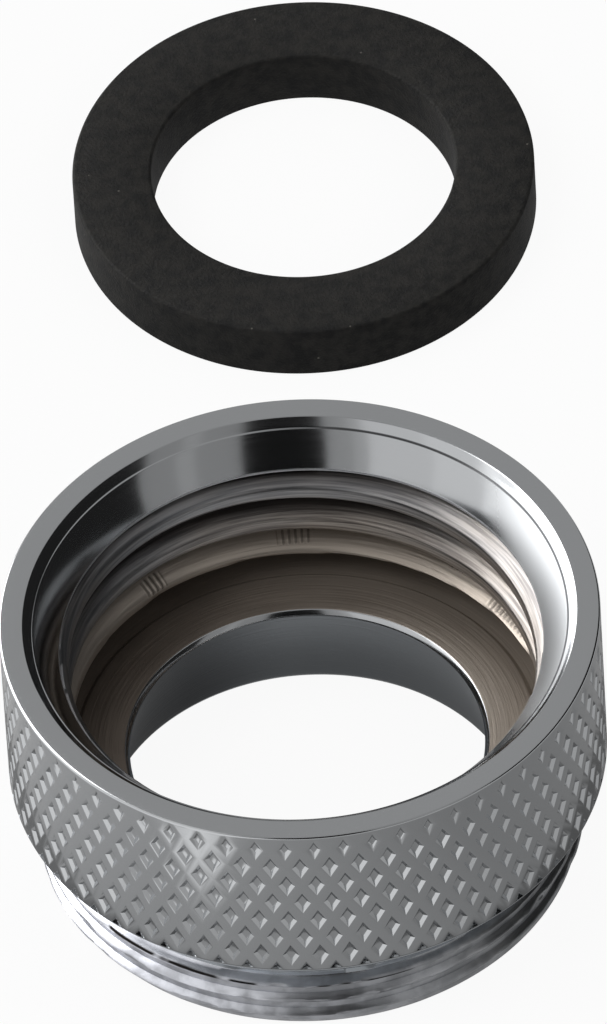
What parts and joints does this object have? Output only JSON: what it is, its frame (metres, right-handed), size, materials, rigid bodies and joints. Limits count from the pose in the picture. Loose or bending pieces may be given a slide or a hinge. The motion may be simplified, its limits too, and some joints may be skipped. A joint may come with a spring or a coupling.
{
  "type": "thread reducer",
  "caption": "Short knurled adapter with a large internal pipe thread and washer seat, a smaller fine external thread below, and its loose flat rubber washer.",
  "frame": {"origin": "centre of the spigot's end face, the smaller male end, on which the body stands", "axes": "+Z along the body's axis, from the male end up to the mouth of the female end; the loose washer lies on the same plane at +Y"},
  "size_m": [0.024, 0.0562, 0.0125],
  "materials": {
    "chromed_brass": "polished",
    "black_rubber": "matte"
  },
  "bodies": {
    "root": {"reducer_body": "chromed_brass", "sealing_washer": "black_rubber"}
  },
  "joints": []
}
